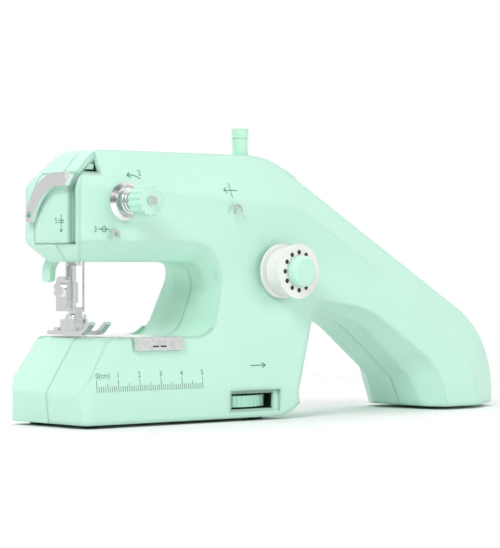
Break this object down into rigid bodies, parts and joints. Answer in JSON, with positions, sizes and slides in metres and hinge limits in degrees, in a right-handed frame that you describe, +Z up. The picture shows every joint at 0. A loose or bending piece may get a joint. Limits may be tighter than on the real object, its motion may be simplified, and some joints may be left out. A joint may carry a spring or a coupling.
{
  "type": "portable sewing machine",
  "caption": "Mint portable electric sewing machine: bed, column and arm round an open sewing space, sweeping handle with rear foot, thumb wheel, tension dial, winder and presser foot",
  "frame": {"origin": "middle of the outer box, at the plane the foot pads stand on", "axes": "+X along the arm from needle end to handle end, +Y from front to back, +Z up"},
  "size_m": [0.2288, 0.0558, 0.111],
  "materials": {
    "mint": "fine satin",
    "wheel": "satin",
    "white": "gloss",
    "clear": "gloss",
    "thread": "wound thread",
    "rubber": "matt",
    "black": "matt",
    "nylon": "moulded",
    "brass": "turned",
    "cell": "sleeve",
    "board": "laminate",
    "steel": "plated"
  },
  "bodies": {
    "housing": {"arm_bush_column": "brass", "arm_bush_head": "brass", "arm_thread_guide": "steel", "battery_cell": "cell", "bobbin_case": "black", "bobbin_spindle": "nylon", "control_board": "board", "face_cover": "mint", "foot_pad_front_left": "rubber", "foot_pad_front_right": "rubber", "foot_pad_handle": "rubber", "foot_pad_rear_left": "rubber", "foot_pad_rear_right": "rubber", "front_shell": "mint", "head_thread_guide": "steel", "hook_bush": "brass", "lifter_pin": "steel", "motor": "steel", "needle_bar_bush": "brass", "needle_plate": "steel", "presser_spring": "steel", "rear_shell": "mint", "shaft_bush_low": "brass", "shaft_bush_top": "brass", "spool_sleeve": "mint", "take_up_pin": "steel", "tension_disc_front": "steel", "tension_disc_rear": "steel", "tension_spring": "steel", "tension_stud": "steel", "timing_belt": "rubber", "wire_guide": "steel"},
    "drive": {"hand_wheel": "wheel", "drive_shaft": "steel", "drive_gear": "nylon", "shaft_bevel": "nylon"},
    "rotor": {"motor_pinion": "nylon"},
    "arm_drive": {"arm_shaft": "steel", "arm_bevel": "nylon", "crank_disc": "steel"},
    "hook": {"rotary_hook": "steel", "hook_pulley": "nylon"},
    "needle_drive": {"needle_bar": "steel", "needle": "steel"},
    "take_up": {"take_up_lever": "steel"},
    "lifter": {"presser_lifter": "mint"},
    "presser": {"presser_bar": "steel", "presser_shank": "steel", "shank_screw": "steel", "ankle_pin": "steel"},
    "foot": {"presser_foot": "steel"},
    "tension": {"tension_knob": "mint"},
    "winder_bobbin": {"thread_bobbin": "white", "thread_winding": "thread"},
    "winder_cap": {"bobbin_cap": "mint"},
    "spool": {"spool_pin": "mint"},
    "slide": {"slide_plate": "steel"},
    "feed": {"feed_dog": "steel"},
    "button": {"power_button": "mint"},
    "case_bobbin": {"lower_bobbin": "clear"}
  },
  "joints": [
    {"name": "wheel_spin", "type": "hinge", "parent": "housing", "child": "drive", "pos_m": [-0.03556, 0.00396, 0.007], "axis": [0, 0, 1], "continuous": true},
    {"name": "motor_spin", "type": "hinge", "parent": "housing", "child": "rotor", "pos_m": [-0.01857, 0.00396, 0.016], "axis": [0, 0, 1], "continuous": true},
    {"name": "arm_spin", "type": "hinge", "parent": "housing", "child": "arm_drive", "pos_m": [-0.06456, 0.00396, 0.076], "axis": [1, 0, 0], "continuous": true},
    {"name": "hook_spin", "type": "hinge", "parent": "housing", "child": "hook", "pos_m": [-0.07846, 0.00396, 0.014], "axis": [0, 0, 1], "continuous": true},
    {"name": "needle_slide", "type": "slide", "parent": "housing", "child": "needle_drive", "axis": [0, 0, 1], "range_m": [-0.016, 0]},
    {"name": "take_up_swing", "type": "hinge", "parent": "housing", "child": "take_up", "pos_m": [-0.10456, 0.01346, 0.082], "axis": [1, 0, 0], "range_deg": [0, 34]},
    {"name": "lifter_swing", "type": "hinge", "parent": "housing", "child": "lifter", "pos_m": [-0.09956, 0.01746, 0.066], "axis": [1, 0, 0], "range_deg": [0, 80]},
    {"name": "presser_slide", "type": "slide", "parent": "housing", "child": "presser", "axis": [0, 0, 1], "range_m": [0, 0.005], "deforming": ["presser_spring"]},
    {"name": "foot_tilt", "type": "hinge", "parent": "presser", "child": "foot", "pos_m": [-0.09696, 0.00846, 0.0384], "axis": [1, 0, 0], "range_deg": [-2, 2]},
    {"name": "tension_turn", "type": "hinge", "parent": "housing", "child": "tension", "pos_m": [-0.08956, -0.02204, 0.0814], "axis": [0, -1, 0], "range_deg": [-360, 360]},
    {"name": "bobbin_spin", "type": "hinge", "parent": "housing", "child": "winder_bobbin", "pos_m": [-0.01506, -0.01704, 0.056], "axis": [0, -1, 0], "continuous": true},
    {"name": "cap_pull", "type": "slide", "parent": "housing", "child": "winder_cap", "axis": [0, -1, 0], "range_m": [0, 0.012]},
    {"name": "spool_lift", "type": "slide", "parent": "housing", "child": "spool", "axis": [0, 0, 1], "range_m": [0, 0.02]},
    {"name": "plate_slide", "type": "slide", "parent": "housing", "child": "slide", "axis": [0, -1, 0], "range_m": [0, 0.03]},
    {"name": "feed_stroke", "type": "slide", "parent": "housing", "child": "feed", "axis": [0, 1, 0], "range_m": [-0.0012, 0.0012]},
    {"name": "button_press", "type": "slide", "parent": "housing", "child": "button", "axis": [-0.4887, 0, -0.8724], "range_m": [0, 0.0015], "stiffness_N_per_m": 400},
    {"name": "case_bobbin_spin", "type": "hinge", "parent": "housing", "child": "case_bobbin", "pos_m": [-0.07846, 0.00396, 0.02], "axis": [0, 0, 1], "continuous": true}
  ],
  "couplings": [
    {"joint": "motor_spin", "follows": "wheel_spin", "ratio": -4},
    {"joint": "arm_spin", "follows": "wheel_spin", "ratio": -1},
    {"joint": "hook_spin", "follows": "wheel_spin", "ratio": 1},
    {"joint": "take_up_swing", "follows": "needle_slide", "rad_per_m": -37.088},
    {"joint": "lifter_swing", "follows": "presser_slide", "rad_per_m": 279.25}
  ]
}
